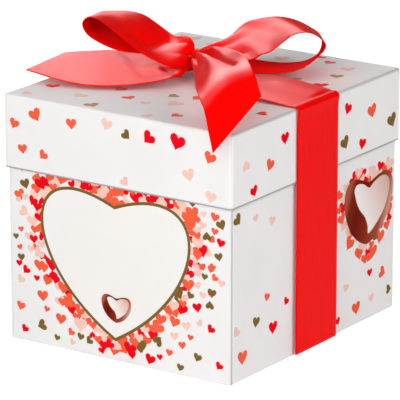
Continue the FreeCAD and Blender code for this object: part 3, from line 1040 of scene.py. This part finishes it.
class GIFTBOX_OT_set_stage(Operator):
    """Set the floor, the soft light and the camera"""
    bl_idname = "giftbox.set_stage"
    bl_label = "Set Stage"

    def execute(self, context):
        settings = context.scene.gift_stage
        scene = context.scene
        scene.view_settings.view_transform = "Standard"
        self.lay_floor(settings)
        self.light_world(scene, settings)
        # The lamps face the middle of the box.
        middle = Vector((0, 0, 0.045))
        for name, place, size, power in (
            ("key lamp", Vector((0.16, -0.66, 0.37)), 0.6, settings.key_power),
            ("fill lamp", Vector((0.76, -0.05, 0.52)), 0.4, settings.fill_power),
            ("back lamp", Vector((-0.55, 0.62, 0.30)), 0.6, settings.back_power),
        ):
            self.hang_lamp(scene, name, place, middle, size, power, glossy=False)
        for name, place, size, share in (
            ("sheen lamp", Vector((-0.57, 0.50, 0.66)), 0.5, 1.0),
            ("high sheen lamp", Vector((-0.20, 0.12, 0.95)), 0.5, 0.9),
        ):
            power = settings.sheen_power * share
            self.hang_lamp(scene, name, place, middle, size, power, diffuse=False)
        self.place_camera(scene, settings)
        return {"FINISHED"}

    def lay_floor(self, settings):
        """A plain pale floor that glows a little to the eye and keeps the box's shadow."""
        material, tree = start_material("matt_white_floor")
        path = add_node(tree, "ShaderNodeLightPath").outputs
        seen = path["Is Camera Ray"]
        for ray in ("Is Glossy Ray", "Is Transmission Ray"):
            either = add_node(tree, "ShaderNodeMath", links={0: seen, 1: path[ray]}, operation="MAXIMUM")
            seen = either.outputs[0]
        glow = add_node(
            tree, "ShaderNodeMath", {1: settings.floor_glow}, {0: seen}, operation="MULTIPLY"
        )
        light = add_node(tree, "ShaderNodeEmission", links={"Strength": glow.outputs[0]})
        paint = add_node(tree, "ShaderNodeBsdfDiffuse", {"Color": settings.floor_colour})
        both = add_node(
            tree, "ShaderNodeAddShader", links={0: paint.outputs["BSDF"], 1: light.outputs["Emission"]}
        )
        add_node(tree, "ShaderNodeOutputMaterial", links={"Surface": both.outputs["Shader"]})
        mesh_tool = bmesh.new()
        bmesh.ops.create_circle(mesh_tool, cap_ends=True, radius=4.0, segments=96)
        # A hair below the box, so that the two share no face.
        bmesh.ops.translate(mesh_tool, vec=(0, 0, -0.05 * MM), verts=mesh_tool.verts)
        add_object("floor", mesh_tool, material)

    def light_world(self, scene, settings):
        """A white studio: pale at the horizon, darker walls and a bright ceiling."""
        world = bpy.data.worlds.new("white studio")
        scene.world = world
        world.use_nodes = True
        tree = world.node_tree
        tree.nodes.clear()
        look = add_node(tree, "ShaderNodeTexCoord").outputs["Generated"]
        axes = add_node(tree, "ShaderNodeSeparateXYZ", links={"Vector": look})
        ramp = add_node(tree, "ShaderNodeValToRGB", links={"Fac": axes.outputs["Z"]})
        tones = ((0.0, 0.5), (0.14, 0.34), (0.50, 0.40), (0.75, 0.9), (1.0, 1.0))
        fill_ramp(ramp, [(position, (tone, tone, tone, 1.0)) for position, tone in tones])
        sky = add_node(
            tree, "ShaderNodeBackground", {"Strength": settings.sky_light}, {"Color": ramp.outputs["Color"]}
        )
        add_node(tree, "ShaderNodeOutputWorld", links={"Surface": sky.outputs["Background"]})

    def hang_lamp(self, scene, name, place, aim, size, power, diffuse=True, glossy=True):
        """A soft square lamp that faces its aim, for plain light, for sheen or for both."""
        data = bpy.data.lights.new(name, "AREA")
        data.size = size
        data.energy = power
        data.use_shadow = diffuse
        lamp = bpy.data.objects.new(name, data)
        lamp.location = place
        lamp.rotation_mode = "QUATERNION"
        lamp.rotation_quaternion = (aim - place).to_track_quat("-Z", "Y")
        lamp.visible_diffuse = diffuse
        lamp.visible_glossy = glossy
        scene.collection.objects.link(lamp)

    def place_camera(self, scene, settings):
        """The camera at the photograph's angle."""
        data = bpy.data.cameras.new("camera")
        data.lens = settings.lens
        data.sensor_width = 36.0
        data.clip_end = 50.0
        camera = bpy.data.objects.new("camera", data)
        flat = math.cos(settings.elevation)
        back = Vector((math.sin(settings.azimuth) * flat, -math.cos(settings.azimuth) * flat,
                       math.sin(settings.elevation)))
        camera.location = Vector(settings.target) + back * settings.distance
        camera.rotation_mode = "QUATERNION"
        camera.rotation_quaternion = (-back).to_track_quat("-Z", "Y")
        scene.collection.objects.link(camera)
        scene.camera = camera


class GIFTBOX_PT_panel(Panel):
    """Lists the steps that dress the gift box"""
    bl_idname = "GIFTBOX_PT_panel"
    bl_label = "Gift Box"
    bl_space_type = "VIEW_3D"
    bl_region_type = "UI"
    bl_category = "Gift Box"

    def draw(self, context):
        for step in STEPS:
            self.layout.operator(step.bl_idname)
        for group in GROUPS:
            settings = getattr(context.scene, group)
            box = self.layout.box()
            for name in settings.__annotations__:
                box.prop(settings, name)


GROUPS = {
    "gift_board": BoardSettings,
    "gift_print": PrintSettings,
    "gift_ribbon": RibbonSettings,
    "gift_stage": StageSettings,
}
STEPS = (
    GIFTBOX_OT_dress_boards,
    GIFTBOX_OT_fill_chocolates,
    GIFTBOX_OT_print_hearts,
    GIFTBOX_OT_print_frame,
    GIFTBOX_OT_lay_bands,
    GIFTBOX_OT_tie_bow,
    GIFTBOX_OT_set_stage,
)


def register():
    for kind in (*GROUPS.values(), *STEPS, GIFTBOX_PT_panel):
        bpy.utils.register_class(kind)
    for group, kind in GROUPS.items():
        setattr(bpy.types.Scene, group, PointerProperty(type=kind))


def unregister():
    for group in GROUPS:
        delattr(bpy.types.Scene, group)
    for kind in (GIFTBOX_PT_panel, *reversed(STEPS), *reversed(GROUPS.values())):
        bpy.utils.unregister_class(kind)


def main():
    register()
    bpy.ops.giftbox.dress_boards()
    bpy.ops.giftbox.fill_chocolates()
    bpy.ops.giftbox.print_hearts()
    bpy.ops.giftbox.print_frame()
    bpy.ops.giftbox.lay_bands()
    bpy.ops.giftbox.tie_bow()
    bpy.ops.giftbox.set_stage()


if __name__ == "__main__":
    main()
